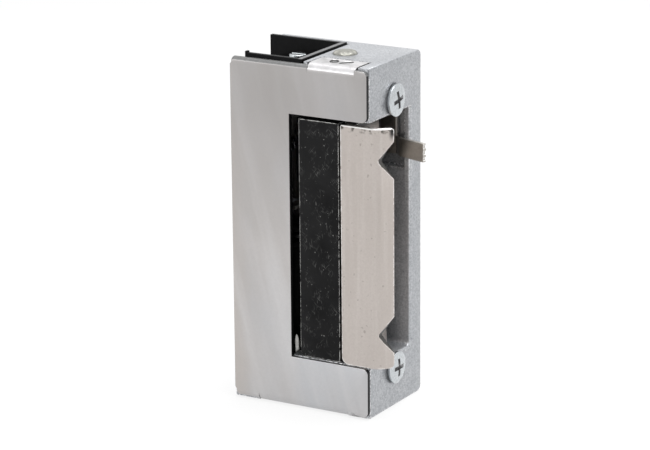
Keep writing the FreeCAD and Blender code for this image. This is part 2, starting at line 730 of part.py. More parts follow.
def build_fixing_screws():
    """Pan-head screws with a cross recess, left standing a little off the front face."""
    low = SCREW_INSET
    seat = f"({FRONT} + screwgap)"
    body = first_screw("fixing_screws", "YZ_Plane", ("0", low), "screwradius",
                      "screwlength + screwgap", "screwhead", "screwrim", seat)
    dome(body, "dome", f"{seat} + screwrim", low, "screwhead", "screwdome")
    cross = new_sketch(body, "cross_outline", "YZ_Plane", f"{seat} + screwrim + screwdome - crossdepth")
    half = "crossspan / 2"
    slot = "crosswidth / 2"
    polygon(cross, [
        (f"-{half}", f"{low} - {slot}"), (f"-{slot}", f"{low} - {slot}"),
        (f"-{slot}", f"{low} - {half}"), (slot, f"{low} - {half}"),
        (slot, f"{low} - {slot}"), (half, f"{low} - {slot}"),
        (half, f"{low} + {slot}"), (slot, f"{low} + {slot}"),
        (slot, f"{low} + {half}"), (f"-{slot}", f"{low} + {half}"),
        (f"-{slot}", f"{low} + {slot}"), (f"-{half}", f"{low} + {slot}"),
    ])
    pocket(body, "cross_recess", cross, "crossdepth + 1")
    repeat(body, "both_screws", "Z_Axis", f"caseheight - 2 * {SCREW_INSET}")
    return body


def build_coil():
    """Bobbin, winding and core of the solenoid, all round one upright axis."""
    low = "(bayfloor + yokethick)"
    bobbin = new_body("coil_bobbin")
    for name, lift, radius, length in (
            ("lower_flange", low, COIL_RADIUS, "flangethick"),
            ("barrel", low, "barrelradius", BOBBIN_HEIGHT),
            ("upper_flange", f"{low} + {BOBBIN_HEIGHT} - flangethick", COIL_RADIUS, "flangethick")):
        outline = new_sketch(bobbin, name + "_outline", "XY_Plane", lift)
        circle(outline, COIL_X, COIL_Y, radius)
        pad(bobbin, name, outline, length)
    bore = new_sketch(bobbin, "bore_outline", "XY_Plane", low)
    circle(bore, COIL_X, COIL_Y, "coreradius")
    pocket(bobbin, "bore", bore, BOBBIN_HEIGHT)

    winding = new_body("coil_winding")
    ring = new_sketch(winding, "ring_outline", "XY_Plane", f"{low} + flangethick")
    circle(ring, COIL_X, COIL_Y, f"{COIL_RADIUS} - windinginset")
    circle(ring, COIL_X, COIL_Y, "barrelradius")
    pad(winding, "ring", ring, f"{BOBBIN_HEIGHT} - 2 * flangethick")

    core = new_body("coil_core")
    outline = new_sketch(core, "core_outline", "XY_Plane", "bayfloor")
    circle(outline, COIL_X, COIL_Y, "coreradius")
    pad(core, "rod", outline, f"yokethick + {BOBBIN_HEIGHT} + coreproud")


def build_yoke():
    """Soft-iron strip folded to an L: a foot under the coil and a leg behind it."""
    body = new_body("coil_yoke")
    sides = (f"{COIL_X} - yokewidth / 2", f"{COIL_X} + yokewidth / 2")
    block(body, "foot", sides, (f"{COVER_INSIDE} + yokeinset", YOKE_REAR),
          ("bayfloor", "bayfloor + yokethick"))
    block(body, "leg", sides, (f"{YOKE_REAR} - yokethick", YOKE_REAR), ("bayfloor", YOKE_TOP))
    holes = new_sketch(body, "holes_outline", "XY_Plane", "bayfloor")
    circle(holes, COIL_X, COIL_Y, "coreradius")
    circle(holes, COIL_X, YOKE_SCREW_Y, "yokescrewradius")
    pocket(body, "holes", holes, "yokethick")
    return body


def build_yoke_screw():
    body = new_body("yoke_screw")
    place = (COIL_X, YOKE_SCREW_Y)
    shank = new_sketch(body, "shank_outline", "XY_Plane", "bayfloor - yokescrewlength")
    circle(shank, *place, "yokescrewradius")
    pad(body, "shank", shank, "yokescrewlength + yokethick")
    head = new_sketch(body, "head_outline", "XY_Plane", "bayfloor + yokethick")
    circle(head, *place, "yokescrewhead")
    pad(body, "head", head, "yokescrewrise")
    return body


def build_armature():
    """Iron plate that tips on the yoke's leg, with a finger that bars the locking lever."""
    body = new_body("armature")
    low = f"({YOKE_TOP} + armaturegap)"
    left = f"({LEVER_X} - stopwidth - fingergap - fingerwidth)"
    block(body, "plate", (left, f"{left} + armaturewidth"), (f"{COIL_Y} - armaturelead", YOKE_REAR),
          (low, f"{low} + armaturethick"))
    block(body, "finger", (left, f"{left} + fingerwidth"),
          (f"{LEVER_FRONT} - fingerlead", f"{LEVER_FRONT} + fingerbite"),
          (low, f"{LEVER_TOP} - stopreach + fingerlap"))
    return body


def build_locking_lever():
    """Hardened steel stamping that stands behind the carrier's tail."""
    body = new_body("locking_lever")
    rear = f"({LEVER_FRONT} + leverthick)"
    outline = new_sketch(body, "lever_outline", "XZ_Plane", f"-{rear}")
    tip = f"({PIN_X} - tailreach + tiplap)"
    polygon(outline, [
        (tip, f"{LEVER_TOP} - tiplow"),
        (tip, f"{LEVER_TOP} - tiplow + tipheight"),
        (f"{LEVER_X} + leverhub", f"{LEVER_TOP} - leverhub"),
        (f"{LEVER_X} + leverhub", f"{LEVER_TOP} + leverhub / 2"),
        (f"{LEVER_X} + leverhub / 2", f"{LEVER_TOP} + leverhub"),
        (f"{LEVER_X} - leverhub / 2", f"{LEVER_TOP} + leverhub"),
        (f"{LEVER_X} - stopwidth", f"{LEVER_TOP} + leverhub / 2"),
        (f"{LEVER_X} - stopwidth", f"{LEVER_TOP} - stopreach"),
        (LEVER_X, f"{LEVER_TOP} - stopreach"),
        (f"{LEVER_X} + stopwidth / 4", f"{LEVER_TOP} - stopneck"),
        (f"{tip} - leverhub", f"{LEVER_TOP} - tiplow"),
    ])
    pad(body, "plate", outline, "leverthick")
    bore = new_sketch(body, "bore_outline", "XZ_Plane", f"-{rear}")
    circle(bore, LEVER_X, LEVER_TOP, "leverpinradius + runningfit")
    pocket(body, "bore", bore, "leverthick")
    return body


def build_lever_pin():
    """Pin of the locking lever: it stands in the housing's post and ends in a flat head."""
    body = new_body("lever_pin")
    post = f"({LEVER_FRONT} + leverthick + slidegap)"
    shaft = new_sketch(body, "shaft_outline", "XZ_Plane", f"-{post}")
    circle(shaft, LEVER_X, LEVER_TOP, "leverpinradius")
    pad(body, "shaft", shaft, "leverthick + 2 * slidegap")
    head = new_sketch(body, "head_outline", "XZ_Plane",
                      f"-{post} + leverthick + 2 * slidegap")
    circle(head, LEVER_X, LEVER_TOP, "leverpinclip")
    pad(body, "head", head, "clipthick")
    return body


WIRE_SIDES = 6


def coil_spring(label, foot, axis, radius, wire, pitch, turns, chords):
    """A wire spring from a foot point along an axis: a ruled loft through six-sided rings."""
    rings = []
    for step in range(round(turns * chords) + 1):
        turn = Rotation(ALONG_Z, step * 360 / chords)
        middle = Vector(radius, 0, pitch * step / chords)
        corners = []
        for side in range(WIRE_SIDES + 1):
            corner = Rotation(ALONG_Y, side * 360 / WIRE_SIDES).multVec(Vector(wire, 0, 0))
            corners.append(turn.multVec(middle + corner))
        rings.append(Part.makePolygon(corners))
    feature = doc.addObject("Part::Feature", label)
    feature.Label = label
    feature.Shape = Part.makeLoft(rings, True, True)
    feature.Placement = FreeCAD.Placement(foot, Rotation(ALONG_Z, axis))
    return feature


def build_springs():
    """Torsion spring of the keeper, and the pressure springs of lever and armature."""
    foot = Vector(size(PIN_X), 0, size(f"{WINDOW_LOW} + keeperwire + runningfit"))
    coil_spring("keeper_spring", foot, ALONG_Z, size("keepercoil"), size("keeperwire"),
                size("keeperpitch"), size("keeperturns"), size("keeperchords"))

    wire = size("leverwire")
    room = size(f"{LEVER_X} - stopwidth - {BAY_BACK}") - 2 * wire
    turns = size("leverturns")
    foot = Vector(size(BAY_BACK) + wire, size(f"{LEVER_FRONT} + leverthick / 2"),
                  size(f"{LEVER_TOP} - leverspringdrop"))
    coil_spring("lever_spring", foot, ALONG_X, size("levercoil"), wire, room / turns, turns,
                size("smallchords"))

    wire = size("armaturewire")
    flange_top = size(f"bayfloor + yokethick + {BOBBIN_HEIGHT}")
    room = size(f"{YOKE_TOP} + armaturegap") - flange_top - 2 * wire
    turns = size("armatureturns")
    foot = Vector(size(f"{COIL_X} - {COIL_RADIUS} + armaturespringinset"), size(COIL_Y), flange_top + wire)
    coil_spring("armature_spring", foot, ALONG_Z, size("armaturecoil"), wire, room / turns, turns,
                size("smallchords"))


def build_release_slider():
    """Stamped sheet-steel slider in the rear wall, with a folded thumb tab at its front."""
    body = new_body("release_slider")
    rear = f"({SLIDE_FRONT_Y} + slidethick)"
    front = f"({FRONT} - slidefront)"
    slide_top = f"({POCKET_TOP} + sliderise)"
    foot_right = f"({LEG_LEFT} + footspan)"
    plate = new_sketch(body, "plate_outline", "XZ_Plane", f"-{rear}")
    polygon(plate, [
        (front, SLIDE_LOW),
        (front, slide_top),
        (f"{front} - neckwidth", slide_top),
        (f"{front} - neckwidth", f"{ARM_LOW} + armheight"),
        (LEG_LEFT, f"{ARM_LOW} + armheight"),
        (LEG_LEFT, LEG_FOOT),
        (foot_right, LEG_FOOT),
        (foot_right, f"{LEG_FOOT} + footheight"),
        (f"{LEG_LEFT} + legwidth", f"{LEG_FOOT} + footheight"),
        (f"{LEG_LEFT} + legwidth", ARM_LOW),
        (f"{front} - neckwidth", ARM_LOW),
        (f"{front} - neckwidth", SLIDE_LOW),
    ])
    pad(body, "plate", plate, "slidethick")
    block(body, "foot", (f"{foot_right} - footwidth", foot_right),
          (f"{SLIDE_FRONT_Y} - footreach", SLIDE_FRONT_Y), (LEG_FOOT, f"{LEG_FOOT} + slidethick"))
    tab = new_sketch(body, "tab_outline", "XY_Plane", SLIDE_LOW)
    lean_x = "tablength * cos(tabangle * 1deg)"
    lean_y = "tablength * sin(tabangle * 1deg)"
    thick_x = "slidethick * sin(tabangle * 1deg)"
    thick_y = "slidethick * cos(tabangle * 1deg)"
    step_x = f"{front} + tabstepout"
    step_y = f"{SLIDE_FRONT_Y} - tabstepback"
    polygon(tab, [
        (front, SLIDE_FRONT_Y),
        (step_x, step_y),
        (f"{step_x} + {lean_x}", f"{step_y} - {lean_y}"),
        (f"{step_x} + {lean_x} + {thick_x}", f"{step_y} - {lean_y} + {thick_y}"),
        (f"{step_x} + {thick_x}", f"{step_y} + {thick_y}"),
        (front, rear),
    ])
    pad(body, "thumb_tab", tab, "tabheight")
    teeth = new_sketch(body, "teeth_outline", "XZ_Plane", f"-{rear}")
    for share in ("1", "3", "5"):
        circle(teeth, f"{step_x} + {lean_x} + slidethick / 2", f"{SLIDE_LOW} + tabheight * {share} / 6",
               "toothradius")
    pocket(body, "teeth", teeth, "casewidth / 2")
    return body


def build_terminal_block():
    """Black moulded block with a U-shaped guard round two screw terminals."""
    body = new_body("terminal_block")
    right = BLOCK_RIGHT
    top = "(caseheight + blockproud)"
    base_top = f"({BLOCK_LOW} + blockbase)"
    wall_back = f"{BACK} + sheetthick"
    block(body, "base", (wall_back, right), (BLOCK_FRONT, BLOCK_REAR), (BLOCK_LOW, base_top))
    block(body, "front_wall", (f"{FRONT} - frontwallback", right),
          (BLOCK_FRONT, f"{BLOCK_FRONT} + blockwall"), (BLOCK_LOW, top))
    block(body, "end_wall", (f"{right} - blockendwall", right), (BLOCK_FRONT, BLOCK_REAR), (BLOCK_LOW, top))
    block(body, "nub", (f"{FRONT} - frontwallback", f"{FRONT} - frontwallback + nubwidth"),
          (BLOCK_FRONT, f"{BLOCK_FRONT} + blockwall"), (BLOCK_LOW, f"{top} + nubrise"))
    block(body, "rear_wall", (f"{BACK} - blocktail", right), (f"{BLOCK_REAR} - blockwall", BLOCK_REAR),
          (BLOCK_LOW, top))
    middles = (FIRST_TERMINAL, f"({FIRST_TERMINAL} + {TERMINAL_STEP})")
    for name, middle in zip(("first_cage_seat", "second_cage_seat"), middles):
        cut_block(body, name, (f"{BACK} - 1", f"{TERMINAL_X} + cagelength / 2 + cagegap"),
                  (f"{middle} - cagewidth / 2 - cagegap", f"{middle} + cagewidth / 2 + cagegap"),
                  (f"{BLOCK_LOW} + cagelift - cagegap", f"{BLOCK_LOW} + cagelift + cageheight"))
    holes = new_sketch(body, "screw_holes_outline", "XY_Plane", f"{BLOCK_LOW} + cagelift + cageheight - 1")
    for middle in middles:
        circle(holes, TERMINAL_X, middle, "terminalradius + runningfit")
    pocket(body, "screw_holes", holes, "blockbase")
    return body


def build_terminal_cages():
    """Nickel-plated clamping cages that the terminal screws draw up onto the wires."""
    body = new_body("terminal_cages")
    body.AllowCompound = True
    middle = FIRST_TERMINAL
    low = f"({BLOCK_LOW} + cagelift)"
    ends = (f"{TERMINAL_X} - cagelength / 2", f"{TERMINAL_X} + cagelength / 2")
    block(body, "cage", ends, (f"{middle} - cagewidth / 2", f"{middle} + cagewidth / 2"),
          (low, f"{low} + cageheight - cagegap"))
    cut_block(body, "wire_way", (f"{ends[0]} - 1", f"{ends[1]} + 1"),
              (f"{middle} - cagewidth / 2 + cagewall", f"{middle} + cagewidth / 2 - cagewall"),
              (f"{low} + cagewall", f"{low} + cageheight - cagegap - cagewall"))
    hole = new_sketch(body, "screw_hole_outline", "XY_Plane", f"{low} + cagewall")
    circle(hole, TERMINAL_X, middle, "terminalradius")
    pocket(body, "screw_hole", hole, "cageheight")
    repeat(body, "both_cages", "Y_Axis", TERMINAL_STEP)
    return body


def build_terminal_screws():
    """Slotted terminal screws."""
    body = new_body("terminal_screws")
    body.AllowCompound = True
    middle = FIRST_TERMINAL
    seat = f"({BLOCK_LOW} + blockbase + terminallift)"
    foot = f"({BLOCK_LOW} + cagelift + cageheight / 2)"
    shank = new_sketch(body, "shank_outline", "XY_Plane", foot)
    circle(shank, TERMINAL_X, middle, "terminalradius")
    pad(body, "shank", shank, f"{seat} - {foot}")
    head = new_sketch(body, "head_outline", "XY_Plane", seat)
    circle(head, TERMINAL_X, middle, "terminalhead")
    pad(body, "head", head, "terminalrise")
    cut_block(body, "slot", (f"{TERMINAL_X} - terminalhead - 1", f"{TERMINAL_X} + terminalhead + 1"),
              (f"{middle} - terminalslot / 2", f"{middle} + terminalslot / 2"),
              (f"{seat} + terminalrise / 2", f"{seat} + terminalrise + 1"))
    repeat(body, "both_screws", "Y_Axis", TERMINAL_STEP)
    return body


build_housing()
build_cover()
build_pivot_pin()
build_carrier()
build_keeper()
build_keeper_screws()
build_fixing_screws()
build_coil()
build_yoke()
build_yoke_screw()
build_armature()
build_locking_lever()
build_lever_pin()
build_springs()
build_release_slider()
build_terminal_block()
build_terminal_cages()
build_terminal_screws()
doc.recompute()

# Every object has to be sound before any file is written
for item in doc.Objects:
    if "Invalid" in item.State or "Error" in item.State:
        raise RuntimeError(f"{item.Label} failed: {item.State}")

pieces = [item for item in doc.Objects if item.TypeId in ("PartDesign::Body", "Part::Feature")]
for piece in pieces:
    if piece.Shape.isNull() or not piece.Shape.isValid():
        raise RuntimeError(f"{piece.Label} has no sound shape")
for piece in pieces:
    piece.Shape.exportStep(f"parts/{piece.Label}.step")
    print(piece.Label, len(piece.Shape.Solids), round(piece.Shape.Volume, 2))
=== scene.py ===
import json
import math

import bmesh
import bpy
from mathutils import Matrix, Vector


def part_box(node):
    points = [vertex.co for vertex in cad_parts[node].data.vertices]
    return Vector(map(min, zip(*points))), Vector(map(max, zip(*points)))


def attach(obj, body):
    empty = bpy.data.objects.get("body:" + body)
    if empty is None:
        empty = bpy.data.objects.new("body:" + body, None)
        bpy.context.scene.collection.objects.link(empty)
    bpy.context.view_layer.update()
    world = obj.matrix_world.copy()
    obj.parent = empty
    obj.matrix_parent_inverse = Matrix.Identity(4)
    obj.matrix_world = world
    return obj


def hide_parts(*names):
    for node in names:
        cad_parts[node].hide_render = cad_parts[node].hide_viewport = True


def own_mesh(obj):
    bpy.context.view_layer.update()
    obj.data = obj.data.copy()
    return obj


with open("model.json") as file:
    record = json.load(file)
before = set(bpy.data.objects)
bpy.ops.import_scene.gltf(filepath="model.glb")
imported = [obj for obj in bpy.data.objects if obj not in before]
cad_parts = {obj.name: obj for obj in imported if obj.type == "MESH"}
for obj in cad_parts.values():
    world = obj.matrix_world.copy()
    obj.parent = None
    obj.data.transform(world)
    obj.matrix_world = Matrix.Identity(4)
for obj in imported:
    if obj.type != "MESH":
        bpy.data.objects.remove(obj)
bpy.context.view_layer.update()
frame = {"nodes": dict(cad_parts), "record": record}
nodes = frame["nodes"]
record = frame["record"]

# Camera
# A long lens from the front right, a little above the strike, which was fitted to the straight
# edges of the case in the photograph.
CAMERA_TARGET = Vector((0.000018, -0.000483, 0.033024))
CAMERA_DISTANCE = 0.552636
CAMERA_AZIMUTH = math.radians(30.377)
CAMERA_ELEVATION = math.radians(15.894)
CAMERA_ROLL = math.radians(-0.488)
CAMERA_LENS = 164.81

back = Vector((
    math.sin(CAMERA_AZIMUTH) * math.cos(CAMERA_ELEVATION),
    -math.cos(CAMERA_AZIMUTH) * math.cos(CAMERA_ELEVATION),
    math.sin(CAMERA_ELEVATION),
))
level_right = Vector((math.cos(CAMERA_AZIMUTH), math.sin(CAMERA_AZIMUTH), 0))
camera_turn = Matrix((level_right, back.cross(level_right), back)).transposed()
camera_data = bpy.data.cameras.new("camera")
camera_data.sensor_width = 36
camera_data.lens = CAMERA_LENS
camera_data.clip_start = 0.01
camera = bpy.data.objects.new("camera", camera_data)
camera.matrix_world = (
    Matrix.Translation(CAMERA_TARGET + back * CAMERA_DISTANCE)
    @ Matrix.Rotation(CAMERA_ROLL, 4, back)
    @ camera_turn.to_4x4()
)
bpy.context.scene.collection.objects.link(camera)
bpy.context.scene.camera = camera

# Housing
# A zinc die-casting, tumbled and passivated: light grey with a fine speckle. Its edges are pitted
# dark, and below the top face they are bright, partly rubbed wear and partly painted highlight. It stands
# on its lower end.
MILLIMETRE = 0.001
MERGED_WITHIN = 0.002 * MILLIMETRE
FLAT_WITHIN = math.radians(1)
BENT_FROM = math.radians(28)
body_of = {node: body for body, members in record["behaviour"]["bodies"].items() for node in members}


def worked_copy(node, materials, edge, segments=2, shape=None, keep_sharp=None, clamp=False):
    """A copy of a node with its facets merged, its sharp edges broken and its details worked in.

    The shape function works on the merged mesh, and edges that keep_sharp picks aren't broken. The
    clamp holds the broken edges back where small faces would let them cross."""
    mesh = nodes[node].data.copy()
    mesh.materials.clear()
    for material in materials:
        mesh.materials.append(material)
    work = bmesh.new()
    work.from_mesh(mesh)
    bmesh.ops.remove_doubles(work, verts=work.verts, dist=MERGED_WITHIN)
    bmesh.ops.dissolve_limit(work, angle_limit=FLAT_WITHIN, verts=work.verts, edges=work.edges)
    for face in work.faces:
        face.smooth = True
        face.material_index = 0
    if shape:
        shape(work)
    weight = work.edges.layers.float.new("bevel_weight_edge")
    for joint in work.edges:
        if len(joint.link_faces) != 2 or joint.calc_face_angle() < BENT_FROM:
            continue
        if keep_sharp and keep_sharp(joint):
            joint.smooth = False
        else:
            joint[weight] = 1.0
    work.to_mesh(mesh)
    work.free()
    piece = bpy.data.objects.new(node + "_dressed", mesh)
    bpy.context.scene.collection.objects.link(piece)
    broken_edges = piece.modifiers.new("broken_edges", "BEVEL")
    broken_edges.width = edge * MILLIMETRE
    broken_edges.segments = segments
    broken_edges.limit_method = "WEIGHT"
    broken_edges.harden_normals = True
    broken_edges.use_clamp_overlap = clamp
    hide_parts(node)
    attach(piece, body_of[node])


class Finish:
    """A material with its shader, and short ways to add the nodes that its patterns need."""

    def __init__(self, name, metallic, roughness, specular=0.5):
        self.material = bpy.data.materials.new(name)
        self.material.use_nodes = True
        self.nodes = self.material.node_tree.nodes
        self.links = self.material.node_tree.links
        self.shader = self.nodes["Principled BSDF"]
        self.shader.inputs["Metallic"].default_value = metallic
        self.shader.inputs["Roughness"].default_value = roughness
        self.shader.inputs["Specular IOR Level"].default_value = specular
        self.place = self.nodes.new("ShaderNodeTexCoord").outputs["Object"]

    def stretched(self, scale, lean=0.0):
        """Places leaned about Y first and scaled then, so that a pattern is drawn out along the lean."""
        place = self.place
        for socket, value in (("Rotation", (0, lean, 0)), ("Scale", scale)):
            mapping = self.nodes.new("ShaderNodeMapping")
            mapping.inputs[socket].default_value = value
            self.links.new(place, mapping.inputs["Vector"])
            place = mapping.outputs["Vector"]
        return place

    def along(self, axis):
        split = self.nodes.new("ShaderNodeSeparateXYZ")
        self.links.new(self.place, split.inputs["Vector"])
        return split.outputs[axis]

    def noise(self, scale, detail=4.0, place=None, roughness=0.5):
        texture = self.nodes.new("ShaderNodeTexNoise")
        texture.inputs["Scale"].default_value = scale
        texture.inputs["Detail"].default_value = detail
        texture.inputs["Roughness"].default_value = roughness
        self.links.new(place or self.place, texture.inputs["Vector"])
        return texture.outputs["Fac"]

    def spread(self, value, low, high, to_low=0.0, to_high=1.0):
        ranged = self.nodes.new("ShaderNodeMapRange")
        limits = {"From Min": low, "From Max": high, "To Min": to_low, "To Max": to_high}
        for socket, number in limits.items():
            ranged.inputs[socket].default_value = number
        self.links.new(value, ranged.inputs["Value"])
        return ranged.outputs["Result"]

    def combined(self, kind, first, second):
        """Two values, each a socket or a number, joined by one of the Math node's kinds."""
        node = self.nodes.new("ShaderNodeMath")
        node.operation = kind
        for socket, value in zip(node.inputs, (first, second)):
            if isinstance(value, (int, float)):
                socket.default_value = value
            else:
                self.links.new(value, socket)
        return node.outputs["Value"]

    def mixed(self, share, first, second):
        mix = self.nodes.new("ShaderNodeMix")
        mix.data_type = "RGBA"
        self.links.new(share, mix.inputs["Factor"])
        for socket, value in zip((mix.inputs[6], mix.inputs[7]), (first, second)):
            if isinstance(value, tuple):
                socket.default_value = (*value, 1)
            else:
                self.links.new(value, socket)
        return mix.outputs[2]

    def edges(self, radius):
        """More than 0 within a radius of a sharp edge and 0 on the flats."""
        bevel = self.nodes.new("ShaderNodeBevel")
        bevel.samples = 8
        bevel.inputs["Radius"].default_value = radius * MILLIMETRE
        geometry = self.nodes.new("ShaderNodeNewGeometry")
        dot = self.nodes.new("ShaderNodeVectorMath")
        dot.operation = "DOT_PRODUCT"
        self.links.new(bevel.outputs["Normal"], dot.inputs[0])
        self.links.new(geometry.outputs["Normal"], dot.inputs[1])
        return self.combined("SUBTRACT", 1.0, dot.outputs["Value"])

    def ragged(self, mask, grain, low, high, middle=0.5):
        """The mask where it lies in the patches of a noise, which a higher middle makes fewer."""
        patches = self.spread(self.noise(grain, 4), middle - 0.1, middle + 0.1)
        return self.spread(self.combined("MULTIPLY", mask, patches), low, high)

    def bump(self, height, strength, distance):
        bump = self.nodes.new("ShaderNodeBump")
        bump.inputs["Strength"].default_value = strength
        bump.inputs["Distance"].default_value = distance * MILLIMETRE
        self.links.new(height, bump.inputs["Height"])
        self.links.new(bump.outputs["Normal"], self.shader.inputs["Normal"])

    def drive(self, value, socket):
        self.links.new(value, self.shader.inputs[socket])


RUBBED_BELOW = 0.0640
RUBBED_FADE = 0.0005


def cast_zinc():
    finish = Finish("cast_zinc", 0.75, 0.42)
    clouds = finish.noise(110, 4)
    grains = finish.noise(3200, 2, roughness=0.7)
    specks = finish.spread(finish.noise(1500, 2), 0.27, 0.34, 0.6, 0.0)
    base = finish.mixed(finish.spread(clouds, 0.35, 0.65), (0.475, 0.487, 0.505), (0.54, 0.55, 0.567))
    grained = finish.mixed(finish.spread(grains, 0.36, 0.64, 0.8, 0.0), base, (0.29, 0.30, 0.32))
    speckled = finish.mixed(specks, grained, (0.20, 0.21, 0.22))
    near_edge = finish.edges(0.4)
    under_top = finish.spread(finish.along("Z"), RUBBED_BELOW + RUBBED_FADE, RUBBED_BELOW)
    worn = finish.combined("MULTIPLY", finish.ragged(near_edge, 1800, 0.002, 0.012, 0.47), under_top)
    pitted = finish.ragged(near_edge, 2600, 0.004, 0.02, 0.55)
    # Near-white edges below the top face: partly rubbed wear, partly painted highlight.
    rubbed = finish.mixed(worn, speckled, (0.97, 0.97, 0.98))
    finish.drive(finish.mixed(pitted, rubbed, (0.08, 0.08, 0.085)), "Base Color")
    finish.drive(finish.spread(clouds, 0.3, 0.7, 0.36, 0.48), "Roughness")
    finish.bump(finish.combined("ADD", grains, clouds), 0.4, 0.04)
    return finish.material


worked_copy("housing", [cast_zinc()], 0.12)

# Solenoid
# The coil stands in the housing on the foot of its iron yoke. Its winding is wrapped in black tape
# and its bobbin is a black moulding. A tinned tag of the winding stands up beside it.


def smooth_plastic(name, dark, light, roughness, specular, grain):
    finish = Finish(name, 0.0, roughness, specular)
    skin = finish.noise(grain, 3)
    finish.drive(finish.mixed(finish.spread(skin, 0.3, 0.7), dark, light), "Base Color")
    finish.bump(skin, 0.1, 0.02)
    return finish.material


def plain_metal(name, colour, roughness, grain=2200):
    finish = Finish(name, 1.0, roughness)
    texture = finish.noise(grain, 3)
    darker = tuple(channel * 0.8 for channel in colour)
    finish.drive(finish.mixed(finish.spread(texture, 0.3, 0.7), darker, colour), "Base Color")
    finish.bump(texture, 0.08, 0.02)
    return finish.material


black_tape = smooth_plastic("black_tape", (0.004, 0.004, 0.004), (0.008, 0.008, 0.008), 0.5, 0.1, 900)
dark_moulding = smooth_plastic(
    "dark_moulding", (0.003, 0.003, 0.003), (0.006, 0.006, 0.006), 0.5, 0.1, 1200)
# The iron parts are darkened nearly to black: painted shade for the inside of the housing.
soft_iron = plain_metal("soft_iron", (0.10, 0.10, 0.10), 0.45)
bright_zinc = plain_metal("bright_zinc", (0.62, 0.65, 0.67), 0.24)
worked_copy("coil_winding", [black_tape], 0.1, clamp=True)
worked_copy("coil_bobbin", [dark_moulding], 0.15, clamp=True)
worked_copy("coil_core", [soft_iron], 0.1, clamp=True)
worked_copy("coil_yoke", [soft_iron], 0.12, clamp=True)
worked_copy("yoke_screw", [bright_zinc], 0.2, clamp=True)

TAG_WIDTH = 1.2
TAG_LENGTH = 3.8
TAG_THICK = 0.12
TAG_PLACE = Vector((-4.5, -3.6, 8.0))
TAG_TURN = math.radians(31)
TAG_LEAN = math.radians(-15)
TAG_TIP = 0.04
TAG_WAIST = 0.08
TAG_RIPPLE = 9
TAG_SWAY = 0.2
TAG_BOW = 0.03
TAG_DISH = 0.05


def coil_tag():
    """A narrow leaf that stands beside the coil, rounded at its top and slightly bowed."""
    leaf = bmesh.new()
    bmesh.ops.create_grid(leaf, x_segments=6, y_segments=16, size=0.5)
    for vertex in leaf.verts:
        across = vertex.co.x
        along = vertex.co.y + 0.5
        waist = 1 - TAG_WAIST * (1 - math.cos(TAG_RIPPLE * along))
        width = TAG_WIDTH * waist * math.sqrt(max(TAG_TIP, 1 - along ** 5))
        vertex.co = Vector((
            across * width + TAG_SWAY * (1 - along) ** 2,
            TAG_BOW * math.sin(math.pi * along) + TAG_DISH * across ** 2,
            along * TAG_LENGTH,
        ))
    turn = Matrix.Rotation(TAG_TURN, 4, "Z") @ Matrix.Rotation(TAG_LEAN, 4, "X")
    place = Matrix.Translation(TAG_PLACE) @ turn
    bmesh.ops.transform(leaf, matrix=Matrix.Scale(MILLIMETRE, 4) @ place, verts=leaf.verts)
    bmesh.ops.recalc_face_normals(leaf, faces=leaf.faces)
    for face in leaf.faces:
        face.smooth = True
    mesh = bpy.data.meshes.new("coil_tag")
    leaf.to_mesh(mesh)
    leaf.free()
    mesh.materials.append(plain_metal("tinned_copper", (0.42, 0.41, 0.40), 0.12))
    piece = bpy.data.objects.new("coil_tag", mesh)
    bpy.context.scene.collection.objects.link(piece)
    thickness = piece.modifiers.new("thickness", "SOLIDIFY")
    thickness.thickness = TAG_THICK * MILLIMETRE
    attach(piece, "case")


coil_tag()

# Armature and locking lever
# Punched steel: the armature tips on the yoke, and its finger bars the lever, which turns on a pin
# in the housing's post and holds the carrier's tail.
hard_steel = plain_metal("hard_steel", (0.26, 0.26, 0.27), 0.35)
dull_nickel = plain_metal("dull_nickel", (0.43, 0.43, 0.40), 0.4)
worked_copy("armature", [soft_iron], 0.1, clamp=True)
worked_copy("locking_lever", [hard_steel], 0.12, clamp=True)
worked_copy("lever_pin", [dull_nickel], 0.15, clamp=True)

# Springs
# Hard-drawn wire, wound close and round: a torsion spring on the pivot pin, and two small pressure
# springs behind the lever and the armature, which shorten as these turn.
SPRING_STEPS = 24
WIRE_SIDES = 10
spring_wire = plain_metal("spring_wire", (0.42, 0.42, 0.43), 0.25)


def wound_spring(node, axis, wire, turns, joint=None):
    """A coil that fills its node's box: a ring of wire, turned and carried along the axis.

    A spring with a joint gets a mesh of its own."""
    low, high = (Vector(corner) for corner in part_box(node))
    length = high[axis] - low[axis] - 2 * wire
    radius = (high[1] - low[1]) / 2 - wire
    coil = bmesh.new()
    ring = bmesh.ops.create_circle(
        coil, segments=WIRE_SIDES, radius=wire,
        matrix=Matrix.Translation((radius, 0, 0)) @ Matrix.Rotation(math.pi / 2, 4, "X"))
    steps = round(SPRING_STEPS * turns)
    edges = list({edge for vertex in ring["verts"] for edge in vertex.link_edges})
    bmesh.ops.spin(
        coil, geom=ring["verts"] + edges, cent=(0, 0, 0), axis=(0, 0, 1),
        dvec=(0, 0, length / steps), angle=2 * math.pi * turns, steps=steps, use_merge=False)
    ends = [edge for edge in coil.edges if edge.is_boundary]
    bmesh.ops.holes_fill(coil, edges=ends, sides=0)
    bmesh.ops.recalc_face_normals(coil, faces=coil.faces)
    start = (low + high) / 2
    start[axis] = low[axis] + wire
    turn = Matrix.Rotation(math.pi / 2, 4, "Y") if axis == 0 else Matrix.Identity(4)
    bmesh.ops.transform(coil, matrix=Matrix.Translation(start) @ turn, verts=coil.verts)
    for face in coil.faces:
        face.smooth = True
    mesh = bpy.data.meshes.new(node + "_wire")
    coil.to_mesh(mesh)
    coil.free()
    mesh.materials.append(spring_wire)
    piece = bpy.data.objects.new(node + "_wire", mesh)
    bpy.context.scene.collection.objects.link(piece)
    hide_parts(node)
    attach(piece, body_of[node])
    if joint:
        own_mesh(piece)


